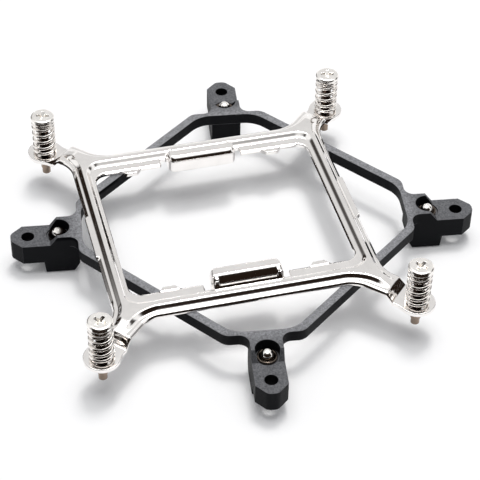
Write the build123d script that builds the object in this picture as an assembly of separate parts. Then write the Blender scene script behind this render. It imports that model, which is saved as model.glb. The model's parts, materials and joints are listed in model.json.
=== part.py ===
from build123d import *
import os
from math import radians, sqrt, tan

os.makedirs("parts", exist_ok=True)

# A two-piece cooler mounting adapter for a 75 mm square socket pattern, in millimetres.
# The origin is on the surface that the feet stand on, in the middle of the backing frame.
# X and Y run through the four feet, Z points up.

# Fastening pattern that both frames share
HOLE_SPACING = 75.0
HOLE_CIRCLE_R = HOLE_SPACING / sqrt(2)

# Backing frame: a moulded octagonal ring with four stepped feet
RING_TOP_Z = 11.45
RING_HEIGHT = 3.0
RING_WIDTH = 2.1
RING_LONG_SIDE = 33.25
RING_FOOT_SIDE = 39.8
RING_FOOT_WIDTH = 1.1
RING_INNER_R = 7.0
RING_OUTER_R = 3.2
NECK_R = 2.4
FOOT_WIDTH = 7.6
STEP_HEIGHT = 2.45
STEP_RUN = 1.85
STEP_SETBACK = 5.35
LUG_THICKNESS = 5.4
LUG_HOLE_D = 3.2
LUG_STRAIGHT = 1.4
LUG_NOSE = 4.2
NOSE_FLAT = 2.4
NOSE_R = 1.8
BLOCK_LENGTH = 6.7
BLOCK_OUTER_DRAFT = 0.4
BLOCK_HEEL_RUN = 1.6
BLOCK_HEEL_HEIGHT = 2.8
BLOCK_EDGE_R = 0.7

# Threaded inserts: blind, knurled, pressed into the feet from above
INSERT_SETBACK = 7.35
INSERT_POCKET_D = 5.8
INSERT_POCKET_DEPTH = 2.9
INSERT_BODY_D = 4.4
INSERT_BODY_LENGTH = 6.4
INSERT_FLANGE_D = 4.8
INSERT_FLANGE_H = 0.7
INSERT_RIM = 0.35
INSERT_DISH_DEPTH = 0.4
INSERT_SIDE_COUNT = 14
INSERT_DOME_D = 3.0
INSERT_DOME_LIFT = 0.3
INSERT_THREAD_D = 2.5
INSERT_THREAD_DEPTH = 5.0
PRESS_CLEARANCE = 0.03

# Retention frame: a pressed steel frame that lies on the ring, turned a little and off centre
FRAME_TURN = 8.08
FRAME_SHIFT_X = -5.43
FRAME_SHIFT_Y = -0.9
SHEET = 1.1
FRAME_LENGTH = 65.1
FRAME_DEPTH = 59.7
WINDOW_LENGTH = 55.2
WINDOW_DEPTH = 44.8
WINDOW_R = 3.0
CROWN_RISE = 1.05
CROWN_DRAFT = 34.0
CROWN_BAR_FLANGE = 0.9
CROWN_SIDE_FLANGE = 1.1
CROWN_SIDE_WIDTH = 2.55
CROWN_BAR_WIDTH = 4.2
CROWN_INNER_R = 2.6
CROWN_EDGE_R = 0.3
RIM_R = 0.7
ARM_WIDTH = 7.2
ARM_CROWN_WIDTH = 4.6
ARM_FILLET_R = 6.5
ARM_DROP = 2.2
ARM_DROP_RUN = 2.4
ARM_BEND_R = 0.9
EYE_D = 8.7
SCREW_HOLE_D = 3.1

# Latch bosses on the two long bars, with the relief cuts and tabs beside them
BOSS_LENGTH = 17.5
BOSS_OVERHANG = 2.4
BOSS_RISE = 2.2
BOSS_TOP_DEPTH = 3.5
BOSS_FRONT_RUN = 1.7
BOSS_EDGE_R = 0.75
BOSS_END_R = 1.6
EAR_WIDTH = 1.4
EAR_REACH = 1.2
EAR_DROP = 0.45
EAR_R = 0.4
RELIEF_LENGTH = 1.6
RELIEF_DEPTH = 2.0
TAB_CENTRE = 18.2
TAB_LENGTH = 5.2
TAB_REACH = 1.45
TAB_TAPER = 1.2
SIDE_TAB_LENGTH = 14.8
SIDE_TAB_REACH = 0.25

# Sprung screws: head, shank, retaining groove and dog point
SCREW_HEAD_D = 6.1
SCREW_HEAD_H = 1.1
SCREW_HEAD_EDGE_R = 0.65
SCREW_SHANK_D = 2.5
SCREW_BELOW_EYE = 5.9
DOG_POINT_D = 2.1
DOG_POINT_LENGTH = 1.8
DOG_POINT_CHAMFER = 0.25
RECESS_WIDTH = 0.85
RECESS_SPAN = 3.3
RECESS_DEPTH = 1.1
SPRING_HEIGHT = 10.3
SPRING_WIRE_D = 0.9
SPRING_COILS = 6
SPRING_SEAT_GAP = 0.02
WIRE_SIDE_COUNT = 6

# Retaining clips: E-shaped, snapped into the screw below each eye
CLIP_D = 4.8
CLIP_BORE_D = 3.2
CLIP_THICKNESS = 0.5
CLIP_GROOVE_D = 1.7
CLIP_PRONG_WIDTH = 0.9
CLIP_MOUTH = 1.5
CLIP_RADIAL_GAP = 0.1
CLIP_AXIAL_GAP = 0.05

# Levels and radii that follow from the sizes above
lug_top_z = RING_TOP_Z - STEP_HEIGHT
ring_bottom_z = RING_TOP_Z - RING_HEIGHT
insert_r = HOLE_CIRCLE_R - INSERT_SETBACK
step_foot_r = HOLE_CIRCLE_R - STEP_SETBACK
step_top_r = step_foot_r - STEP_RUN
pocket_floor_z = RING_TOP_Z - INSERT_POCKET_DEPTH
sheet_bottom_z = RING_TOP_Z
sheet_top_z = sheet_bottom_z + SHEET
crown_top_z = sheet_top_z + CROWN_RISE
eye_top_z = sheet_top_z - ARM_DROP
eye_bottom_z = eye_top_z - SHEET
drop_foot_r = HOLE_CIRCLE_R - EYE_D / 2
drop_top_r = drop_foot_r - ARM_DROP_RUN
head_bottom_z = eye_top_z + SPRING_HEIGHT
head_top_z = head_bottom_z + SCREW_HEAD_H
screw_tip_z = eye_bottom_z - SCREW_BELOW_EYE
clip_top_z = eye_bottom_z - CLIP_AXIAL_GAP

FOOT_NAMES = {"right": 0, "back": 90, "left": 180, "front": 270}
SCREW_NAMES = {"back_right": 45, "back_left": 135, "front_left": 225, "front_right": 315}
RECESS_TURNS = {"back_right": 30, "back_left": 28, "front_left": 0, "front_right": -10}
frame_place = Location((FRAME_SHIFT_X, FRAME_SHIFT_Y, 0), (0, 0, FRAME_TURN))


def turned(shape, angle):
    """The shape turned about the Z axis through the origin."""
    return Rot(0, 0, angle) * shape


def raised(sketch, bottom, height, draft=0):
    """A plan sketch lifted to a level and extruded upwards."""
    return extrude(Pos(0, 0, bottom) * sketch, height, taper=draft)


def upright_cylinder(diameter, bottom, height):
    """A cylinder about the Z axis, standing at a level."""
    return raised(Circle(diameter / 2), bottom, height)


def side_profile(points, width):
    """A closed outline in the XZ plane, given as (x, z) points, extruded evenly to both sides."""
    outline = Plane.XZ * make_face(Polyline(*points, close=True))
    return extrude(outline, width / 2, both=True)


def octagon(long_side, foot_side, corner_r):
    """An octagon with four long diagonal sides, and four short sides where the feet are."""
    half_short = long_side * sqrt(2) - foot_side
    corners = []
    for angle in (0, 90, 180, 270):
        for side in (-1, 1):
            corners.append(Vector(foot_side, side * half_short, 0).rotate(Axis.Z, angle))
    outline = make_face(Polyline(*corners, close=True))
    return fillet(outline.vertices(), corner_r)


def foot_plan():
    """One foot from above, along +X: straight sides, two chamfers and a rounded nose."""
    half = FOOT_WIDTH / 2
    straight_end = HOLE_CIRCLE_R + LUG_STRAIGHT
    nose_end = HOLE_CIRCLE_R + LUG_NOSE
    points = [
        (RING_FOOT_SIDE, -half),
        (straight_end, -half),
        (nose_end, -NOSE_FLAT / 2),
        (nose_end, NOSE_FLAT / 2),
        (straight_end, half),
        (RING_FOOT_SIDE, half),
    ]
    outline = make_face(Polyline(*points, close=True))
    nose = outline.vertices().sort_by(Axis.X)[-2:]
    return fillet(nose, NOSE_R)


def foot():
    """One stepped foot along +X, with its standing block and mounting hole."""
    nose_end = HOLE_CIRCLE_R + LUG_NOSE
    lug_bottom_z = lug_top_z - LUG_THICKNESS
    block_in = insert_r - BLOCK_LENGTH / 2
    block_out = insert_r + BLOCK_LENGTH / 2
    points = [
        (RING_FOOT_SIDE, RING_TOP_Z),
        (step_top_r, RING_TOP_Z),
        (step_foot_r, lug_top_z),
        (nose_end, lug_top_z),
        (nose_end, lug_bottom_z),
        (block_out + BLOCK_OUTER_DRAFT, lug_bottom_z),
        (block_out, 0),
        (block_in, 0),
        (block_in - BLOCK_HEEL_RUN, BLOCK_HEEL_HEIGHT),
        (block_in - BLOCK_HEEL_RUN, ring_bottom_z),
        (RING_FOOT_SIDE, ring_bottom_z),
    ]
    body = side_profile(points, FOOT_WIDTH) & raised(foot_plan(), 0, RING_TOP_Z)
    floor_edges = body.faces().sort_by(Axis.Z)[0].edges()
    body = fillet(floor_edges, BLOCK_EDGE_R)
    hole = upright_cylinder(LUG_HOLE_D, 0, RING_TOP_Z)
    return body - Pos(HOLE_CIRCLE_R, 0, 0) * hole


def insert_seat():
    """What is cut from a foot along +X for its insert: a wide pocket over a press-fit bore."""
    pocket = upright_cylinder(INSERT_POCKET_D, pocket_floor_z, INSERT_POCKET_DEPTH)
    bore = upright_cylinder(INSERT_BODY_D + 2 * PRESS_CLEARANCE, 0, pocket_floor_z)
    return Pos(insert_r, 0, 0) * (pocket + bore)


def backing_frame():
    """The ring and its four feet, with rounded necks where they meet."""
    outer_foot_side = RING_FOOT_SIDE + RING_FOOT_WIDTH
    plan = octagon(RING_LONG_SIDE + RING_WIDTH, outer_foot_side, RING_OUTER_R)
    neck = Pos(step_top_r / 2, 0) * Rectangle(step_top_r, FOOT_WIDTH)
    for angle in FOOT_NAMES.values():
        plan += turned(neck, angle)
    neck_r = Vector(outer_foot_side, FOOT_WIDTH / 2).length
    corners = [v for v in plan.vertices() if abs(Vector(*v).length - neck_r) < 0.01]
    plan = fillet(corners, NECK_R)
    plan -= octagon(RING_LONG_SIDE, RING_FOOT_SIDE, RING_INNER_R)
    body = raised(plan, ring_bottom_z, RING_HEIGHT)
    one_foot = foot()
    one_seat = insert_seat()
    for angle in FOOT_NAMES.values():
        body = body + turned(one_foot, angle) - turned(one_seat, angle)
    return body


def threaded_insert():
    """One blind insert along +X: body, dished flange with a serrated rim, dome, thread bore from below."""
    body_bottom_z = pocket_floor_z - INSERT_BODY_LENGTH
    flange_top_z = pocket_floor_z + INSERT_FLANGE_H
    dome_z = flange_top_z + INSERT_DOME_LIFT
    body = upright_cylinder(INSERT_BODY_D, body_bottom_z, INSERT_BODY_LENGTH)
    flange = raised(RegularPolygon(INSERT_FLANGE_D / 2, INSERT_SIDE_COUNT), pocket_floor_z, INSERT_FLANGE_H)
    dish_top_r = INSERT_FLANGE_D / 2 - INSERT_RIM
    dish = Cone(INSERT_DOME_D / 2, dish_top_r, INSERT_DISH_DEPTH)
    dish = Pos(0, 0, flange_top_z - INSERT_DISH_DEPTH / 2) * dish
    collar = upright_cylinder(INSERT_DOME_D, pocket_floor_z, dome_z - pocket_floor_z)
    upward = (Align.CENTER, Align.CENTER, Align.MIN)
    dome = Pos(0, 0, dome_z) * Sphere(INSERT_DOME_D / 2, arc_size1=0, align=upward)
    bore = upright_cylinder(INSERT_THREAD_D, body_bottom_z, INSERT_THREAD_DEPTH)
    return Pos(insert_r, 0, 0) * (body + flange - dish + collar + dome - bore)


def arms(width, reach):
    """Four bars along the diagonals, from the middle out to a given distance."""
    bar = Pos(reach / 2, 0) * Rectangle(reach, width)
    plan = turned(bar, 45)
    for angle in (135, 225, 315):
        plan += turned(bar, angle)
    return plan


def arm_corner_fillet(plan, length, depth, width, radius):
    """Rounds the eight inner corners where the arms leave the outside of a rectangle."""
    offset = width / sqrt(2)
    on_side = Vector(length / 2, length / 2 - offset).length
    on_bar = Vector(depth / 2 - offset, depth / 2).length
    corners = []
    for vertex in plan.vertices():
        reach = Vector(*vertex).length
        if abs(reach - on_side) < 0.01 or abs(reach - on_bar) < 0.01:
            corners.append(vertex)
    return fillet(corners, radius)


def sheet_blank():
    """The sheet before its window is cut: rectangle and arms, with the upper rim rounded over."""
    plan = Rectangle(FRAME_LENGTH, FRAME_DEPTH) + arms(ARM_WIDTH, drop_top_r)
    plan = arm_corner_fillet(plan, FRAME_LENGTH, FRAME_DEPTH, ARM_WIDTH, ARM_FILLET_R)
    body = raised(plan, sheet_bottom_z, SHEET)
    upper_rim = body.faces().sort_by(Axis.Z)[-1].edges()
    arm_end_reach = Vector(drop_top_r, 0, sheet_top_z).length
    rounded = [e for e in upper_rim if abs(e.center().length - arm_end_reach) > 0.01]
    return fillet(rounded, RIM_R)


def window_plan():
    """What is cut from the sheet: the window without its tabs and bosses, and the relief cuts."""
    plan = RectangleRounded(WINDOW_LENGTH, WINDOW_DEPTH, WINDOW_R)
    inner_edge = WINDOW_DEPTH / 2
    half_tab = TAB_LENGTH / 2
    tab_points = [
        (TAB_CENTRE - half_tab, inner_edge + SHEET),
        (TAB_CENTRE - half_tab, inner_edge),
        (TAB_CENTRE - half_tab + TAB_TAPER, inner_edge - TAB_REACH),
        (TAB_CENTRE + half_tab - TAB_TAPER, inner_edge - TAB_REACH),
        (TAB_CENTRE + half_tab, inner_edge),
        (TAB_CENTRE + half_tab, inner_edge + SHEET),
    ]
    tab = make_face(Polyline(*tab_points, close=True))
    relief = Pos(BOSS_LENGTH / 2 + RELIEF_LENGTH / 2, inner_edge + RELIEF_DEPTH / 2) * Rectangle(
        RELIEF_LENGTH, RELIEF_DEPTH
    )
    for angle in (0, 180):
        plan -= turned(tab, angle) + turned(mirror(tab, Plane.YZ), angle)
        plan += turned(relief, angle) + turned(mirror(relief, Plane.YZ), angle)
    return plan


def side_tab():
    """The flat locating tab on the right side bar, where the rim is not rounded."""
    reach = RIM_R + SIDE_TAB_REACH
    plan = Pos(FRAME_LENGTH / 2 - RIM_R + reach / 2, 0) * Rectangle(reach, SIDE_TAB_LENGTH)
    return raised(plan, sheet_bottom_z, SHEET)


def crown_plan(inset=0):
    """The outline of the raised crown that runs round the frame and out along the arms."""
    length = FRAME_LENGTH - 2 * CROWN_SIDE_FLANGE
    depth = FRAME_DEPTH - 2 * CROWN_BAR_FLANGE
    arm_width = ARM_CROWN_WIDTH - 2 * inset
    plan = Rectangle(length - 2 * inset, depth - 2 * inset) + arms(arm_width, drop_top_r - inset)
    plan = arm_corner_fillet(plan, length - 2 * inset, depth - 2 * inset, arm_width, ARM_FILLET_R)
    opening_length = length - 2 * CROWN_SIDE_WIDTH + 2 * inset
    opening_depth = depth - 2 * CROWN_BAR_WIDTH + 2 * inset
    return plan - RectangleRounded(opening_length, opening_depth, CROWN_INNER_R)


def crown():
    """The raised crown, with drafted walls and a rounded upper edge."""
    body = raised(crown_plan(), sheet_top_z, CROWN_RISE, CROWN_DRAFT)
    top_edges = body.faces().sort_by(Axis.Z)[-1].edges()
    return fillet(top_edges, CROWN_EDGE_R)


def boss_profile(wall):
    """The section of a latch boss in the YZ plane, moved in from its skin by a wall thickness."""
    inner = WINDOW_DEPTH / 2 - BOSS_OVERHANG + wall
    top_z = crown_top_z + BOSS_RISE - wall
    top_end = inner + BOSS_TOP_DEPTH - 2 * wall
    points = [
        (inner, sheet_bottom_z),
        (inner, top_z),
        (top_end, top_z),
        (top_end + BOSS_FRONT_RUN, crown_top_z),
        (top_end + BOSS_FRONT_RUN, sheet_bottom_z),
    ]
    return make_face(Polyline(*points, close=True))


def boss_body(wall):
    """A latch boss, or the hollow inside it, standing over the inner edge of the back bar."""
    half = BOSS_LENGTH / 2 - wall
    section = Plane.YZ * boss_profile(wall)
    body = extrude(section, half, both=True)
    end_r = BOSS_END_R - wall / 2
    uprights = body.edges().filter_by(Axis.Z).group_by(Axis.Y)[0]
    body = fillet(uprights, end_r)
    top = body.faces().sort_by(Axis.Z)[-1].edges()
    return fillet(top, BOSS_EDGE_R)


def boss_ear():
    """The upright post that stiffens the right end of the back boss's sloping wall."""
    brow = WINDOW_DEPTH / 2 - BOSS_OVERHANG + BOSS_TOP_DEPTH
    place = Pos(BOSS_LENGTH / 2 - EAR_WIDTH / 2, brow)
    plan = place * RectangleRounded(EAR_WIDTH, 2 * EAR_REACH, EAR_R)
    body = raised(plan, sheet_top_z, CROWN_RISE + BOSS_RISE - EAR_DROP)
    top = body.faces().sort_by(Axis.Z)[-1].edges()
    return fillet(top, EAR_R / 2)


def eye_and_drop():
    """One arm end along +X: the sheet steps down to a flat eye that carries a screw."""
    lean = SHEET * tan(radians(45) / 2)
    points = [
        (drop_top_r - ARM_WIDTH / 2, sheet_top_z),
        (drop_top_r, sheet_top_z),
        (drop_foot_r, eye_top_z),
        (HOLE_CIRCLE_R, eye_top_z),
        (HOLE_CIRCLE_R, eye_bottom_z),
        (drop_foot_r - lean, eye_bottom_z),
        (drop_top_r - lean, sheet_bottom_z),
        (drop_top_r - ARM_WIDTH / 2, sheet_bottom_z),
    ]
    section = make_face(Polyline(*points, close=True))
    bends = [v for v in section.vertices() if drop_top_r - SHEET < v.X < drop_foot_r + SHEET]
    section = fillet(bends, ARM_BEND_R)
    drop = extrude(Plane.XZ * section, ARM_WIDTH / 2, both=True)
    eye = upright_cylinder(EYE_D, eye_bottom_z, SHEET)
    hole = upright_cylinder(SCREW_HOLE_D, eye_bottom_z, SHEET)
    return drop + Pos(HOLE_CIRCLE_R, 0, 0) * eye - Pos(HOLE_CIRCLE_R, 0, 0) * hole


def retention_frame():
    """The pressed frame: sheet, crown, hollow bosses and the four screw eyes."""
    groove_inset = SHEET / 2
    body = sheet_blank() - raised(window_plan(), sheet_bottom_z, SHEET) + crown()
    tab = side_tab()
    ear = boss_ear()
    arm_end = eye_and_drop()
    for angle in SCREW_NAMES.values():
        body += turned(arm_end, angle)
    body -= raised(crown_plan(groove_inset), sheet_bottom_z, CROWN_RISE)
    for angle in (0, 180):
        body += turned(tab, angle)
        body += turned(boss_body(0), angle)
        body += turned(ear, angle) + turned(mirror(ear, Plane.YZ), angle)
    for angle in (0, 180):
        body -= turned(boss_body(SHEET), angle)
    return frame_place * body


def screw(recess_turn):
    """One sprung screw along +X: pan head with a cross recess, grooved shank and dog point."""
    groove_top = clip_top_z + CLIP_AXIAL_GAP / 2
    groove_bottom = clip_top_z - CLIP_THICKNESS - CLIP_AXIAL_GAP / 2
    dog_top = screw_tip_z + DOG_POINT_LENGTH
    shank_r = SCREW_SHANK_D / 2
    points = [
        (0, screw_tip_z),
        (DOG_POINT_D / 2 - DOG_POINT_CHAMFER, screw_tip_z),
        (DOG_POINT_D / 2, screw_tip_z + DOG_POINT_CHAMFER),
        (DOG_POINT_D / 2, dog_top),
        (shank_r, dog_top + shank_r - DOG_POINT_D / 2),
        (shank_r, groove_bottom),
        (CLIP_GROOVE_D / 2, groove_bottom),
        (CLIP_GROOVE_D / 2, groove_top),
        (shank_r, groove_top),
        (shank_r, head_bottom_z),
        (SCREW_HEAD_D / 2, head_bottom_z),
        (SCREW_HEAD_D / 2, head_top_z),
        (0, head_top_z),
    ]
    body = revolve(Plane.XZ * make_face(Polyline(*points, close=True)), Axis.Z)
    head_rim = body.faces().sort_by(Axis.Z)[-1].edges()
    body = fillet(head_rim, SCREW_HEAD_EDGE_R)
    slot_top = Pos(0, 0, head_top_z) * Rectangle(RECESS_SPAN, RECESS_WIDTH)
    slot_bottom = Pos(0, 0, head_top_z - RECESS_DEPTH) * Rectangle(RECESS_SPAN / 3, RECESS_WIDTH / 2)
    slot = loft([slot_bottom.face(), slot_top.face()])
    recess = turned(slot + turned(slot, 90), recess_turn)
    return Pos(HOLE_CIRCLE_R, 0, 0) * (body - recess)


def spring():
    """One compression spring along +X, from the top of the eye to the underside of the head."""
    coil_r = SCREW_HEAD_D / 2 - SPRING_WIRE_D / 2
    rise = SPRING_HEIGHT - SPRING_WIRE_D - 2 * SPRING_SEAT_GAP
    path = Helix(rise / SPRING_COILS, rise, coil_r)
    section = Plane(path @ 0, z_dir=path % 0) * RegularPolygon(SPRING_WIRE_D / 2, WIRE_SIDE_COUNT)
    body = sweep(section, path, is_frenet=True)
    return Pos(HOLE_CIRCLE_R, 0, eye_top_z + SPRING_WIRE_D / 2 + SPRING_SEAT_GAP) * body


def retaining_clip():
    """One E-clip along +X: an open ring whose three prongs reach into the screw's groove."""
    prong_tip_r = CLIP_GROOVE_D / 2 + CLIP_RADIAL_GAP
    prong = Pos(CLIP_BORE_D / 4, 0) * Rectangle(CLIP_BORE_D / 2, CLIP_PRONG_WIDTH)
    plan = Circle(CLIP_D / 2) - Circle(CLIP_BORE_D / 2)
    for angle in (90, 180, 270):
        plan += turned(prong, angle)
    plan -= Circle(prong_tip_r)
    plan -= Pos(CLIP_D / 4, 0) * Rectangle(CLIP_D / 2, CLIP_MOUTH)
    return Pos(HOLE_CIRCLE_R, 0, 0) * raised(plan, clip_top_z - CLIP_THICKNESS, CLIP_THICKNESS)


def write(name, shape):
    export_step(Compound(children=shape.solids()), f"parts/{name}.step")


write("backing_frame", backing_frame())
write("retention_frame", retention_frame())

one_insert = threaded_insert()
for place, angle in FOOT_NAMES.items():
    write(f"threaded_insert_{place}", turned(one_insert, angle))

one_spring = spring()
one_clip = retaining_clip()
for place, angle in SCREW_NAMES.items():
    write(f"sprung_screw_{place}", frame_place * turned(screw(RECESS_TURNS[place]), angle))
    write(f"screw_spring_{place}", frame_place * turned(one_spring, angle))
    write(f"retaining_clip_{place}", frame_place * turned(one_clip, angle))
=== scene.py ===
import json
from math import atan2, cos, pi, radians, sin, sqrt

import bmesh
import bpy
import numpy as np
from mathutils import Matrix, Vector


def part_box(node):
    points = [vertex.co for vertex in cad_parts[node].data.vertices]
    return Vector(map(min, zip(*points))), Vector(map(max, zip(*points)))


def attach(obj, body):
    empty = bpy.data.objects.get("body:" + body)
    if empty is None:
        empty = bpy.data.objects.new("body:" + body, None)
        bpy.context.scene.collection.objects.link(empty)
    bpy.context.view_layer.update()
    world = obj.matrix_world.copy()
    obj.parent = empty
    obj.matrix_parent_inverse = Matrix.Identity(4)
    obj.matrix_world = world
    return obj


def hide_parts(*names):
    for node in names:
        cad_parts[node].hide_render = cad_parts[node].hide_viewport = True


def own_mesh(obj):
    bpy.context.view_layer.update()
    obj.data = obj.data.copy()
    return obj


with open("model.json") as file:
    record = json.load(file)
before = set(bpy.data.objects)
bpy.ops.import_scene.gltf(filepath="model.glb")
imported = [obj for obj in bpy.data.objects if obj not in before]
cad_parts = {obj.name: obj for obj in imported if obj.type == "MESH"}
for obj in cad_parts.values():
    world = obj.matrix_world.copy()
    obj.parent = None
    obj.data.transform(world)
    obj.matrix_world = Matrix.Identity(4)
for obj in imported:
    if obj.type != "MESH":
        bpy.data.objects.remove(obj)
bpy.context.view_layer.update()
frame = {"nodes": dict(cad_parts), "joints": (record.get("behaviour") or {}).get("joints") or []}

bl_info = {
    "name": "Cooler Mounting Adapter",
    "version": (1, 0, 0),
    "blender": (4, 5, 0),
    "location": "View3D > Sidebar > Adapter",
    "description": "Dresses a two-frame cooler mounting adapter and sets it on a white studio floor",
    "category": "Object",
}

MM = 0.001

# Places that the frame gives: one screw for each turning joint, one insert for each foot
JOINTS = {joint["name"]: joint for joint in frame["joints"]}
SCREW_AXES = {
    name.removeprefix("turn_"): Vector(joint["pos_m"])
    for name, joint in JOINTS.items()
    if name.startswith("turn_")
}
INSERT_NODES = [name for name in sorted(frame["nodes"]) if name.startswith("threaded_insert_")]

# The pressed frame is square to its four screws
FRAME_CENTRE = sum(SCREW_AXES.values(), Vector()) / len(SCREW_AXES)
SCREW_REACH = (SCREW_AXES["back_right"] - FRAME_CENTRE).length
ACROSS = SCREW_AXES["back_right"] - SCREW_AXES["back_left"]
FRAME_TURN = atan2(ACROSS.y, ACROSS.x)

# Height of an insert's bright dome above its flange, which is painted dark as painted shade, and the blur
# between two bands of colour
INSERT_DOME = 1.1 * MM
BAND_BLUR = 0.1 * MM

# Distances from the part's middle between which the ring's paler painted sheen turns into the grained feet
RING_END = 39 * MM
FOOT_START = 45 * MM

# Sides of the wound wire, steps in finding the cut edge of the sheet, steps per mesh cell in measuring its
# slope, and steps per metre of the grid on which the four quarters of the pressed frame are joined
WIRE_SIDES = 20
CUT_STEPS = 18
SLOPE_STEPS = 20
WELD_STEPS = 1e7

# White floor, its own glow, and the fill light
WHITE = (1.0, 1.0, 1.0, 1.0)
FLOOR_PAINT = (0.93, 0.93, 0.93, 1.0)
FLOOR_GLOW = 0.075
FLOOR_LEVEL = -0.02 * MM
FILL_LIGHT = (0.33, 0.335, 0.35, 1.0)

# Dome that glows only in reflections, a painted reflection of a white studio, from its lowest to its highest
# degree above the horizon
DOME_RADIUS = 620 * MM
DOME_FOOT = 0.2
DOME_TOP = 62

# Dark cards on the dome, painted dark reflections: the middle and half width of their turn, the foot and top
# of their rise and the blur of their top edge, all in degrees, and how dark they are. Side and foot edges
# have one blur each.
CARDS = (
    (262, 70, -9, 51.5, 6, 1.0),
    (129, 20, -9, 25, 12, 1.0),
    (8, 14, -9, 34, 6, 1.0),
    (83, 70, 31, 53, 6, 0.24),
    (58, 7, 17, 29, 6, 0.5),
)
SIDE_BLUR = 6
FOOT_BLUR = 4
# Colour of the painted dark reflections
DARK_REFLECTION = np.array([0.016, 0.010, 0.007])

# Dark fans before the springs, painted dark reflections in their turns: half angle in degrees, start and end
# from the screw's axis, and lift
FAN_HALF = 60
FAN_START = 4.4 * MM
FAN_END = 110 * MM
BACK_FAN_ENDS = {"back_left": 40 * MM, "back_right": 13 * MM}
FAN_LIFT = 0.1 * MM

# Dark strips beside and under the side bars, painted dark reflections along them, which pale towards their
# far edge
STRIP_GAP = 0.05 * MM
STRIP_FADE = 5 * MM
STRIP_WIDTH = 9 * MM
STRIP_HALF = 18 * MM

# Dark sheet on the floor before the part, a painted dark reflection, which pales towards it
SHEET_HALF = 400 * MM
SHEET_NEAR = -75 * MM
SHEET_DARK = -110 * MM
SHEET_FAR = -500 * MM
SHEET_LIFT = 0.3 * MM

# Width of the camera's sensor in millimetres, and of the picture in the pixels that its shift was read in
SENSOR_WIDTH = 36
PICTURE_WIDTH = 480


def finish_colour(name, description, colour):
    """A colour property."""
    return bpy.props.FloatVectorProperty(
        name=name, description=description, default=colour, subtype="COLOR", size=3, min=0, max=1,
    )


def length(name, description, millimetres):
    """A length property, given in millimetres."""
    return bpy.props.FloatProperty(
        name=name, description=description, default=millimetres * MM, unit="LENGTH", precision=5,
    )


def view_angle(name, description, degrees):
    """An angle property, given in degrees."""
    return bpy.props.FloatProperty(
        name=name, description=description, default=radians(degrees), subtype="ANGLE", unit="ROTATION",
    )


class AdapterColours(bpy.types.PropertyGroup):
    """Colours of the finishes."""

    # Painted sheen: the feet's upward faces are painted paler for the overhead light; the grain mottles them
    plastic_top_sheen: finish_colour("Plastic, grained", "Upward faces of the feet", (0.128, 0.130, 0.137))
    # Painted sheen: the ring's upward faces are painted paler still
    plastic_ring_sheen: finish_colour(
        "Plastic, rubbed", "Upward faces of the ring, rubbed paler", (0.245, 0.247, 0.258),
    )
    # Painted shade: walls are painted near black, darker than the upward faces
    plastic_wall_shade: finish_colour(
        "Plastic, smooth", "Drawn side walls of the moulding", (0.0038, 0.0043, 0.0058),
    )
    nickel: finish_colour("Nickel", "Bright plating of the pressed frame", (0.93, 0.905, 0.885))
    screw: finish_colour("Screws", "Plating of the screws and inserts", (0.95, 0.925, 0.89))
    shank: finish_colour(
        "Shanks", "Duller, browner plating of the screws below the eyes", (0.30, 0.235, 0.185),
    )
    # Painted shade: the inserts' flanges, deep in their pockets, are painted dark
    flange: finish_colour("Insert flanges", "Dark flanges of the threaded inserts", (0.11, 0.09, 0.075))
    # Painted shade: the shanks inside the springs are painted dark
    shank_shade: finish_colour("Oiled shanks", "Dark oiled screw shanks inside the springs", (0.05, 0.034, 0.025))
    spring: finish_colour("Springs", "Plating of the spring wire", (0.90, 0.865, 0.83))
    clip: finish_colour("Clips", "Plain spring steel of the retaining clips", (0.50, 0.49, 0.49))


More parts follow.
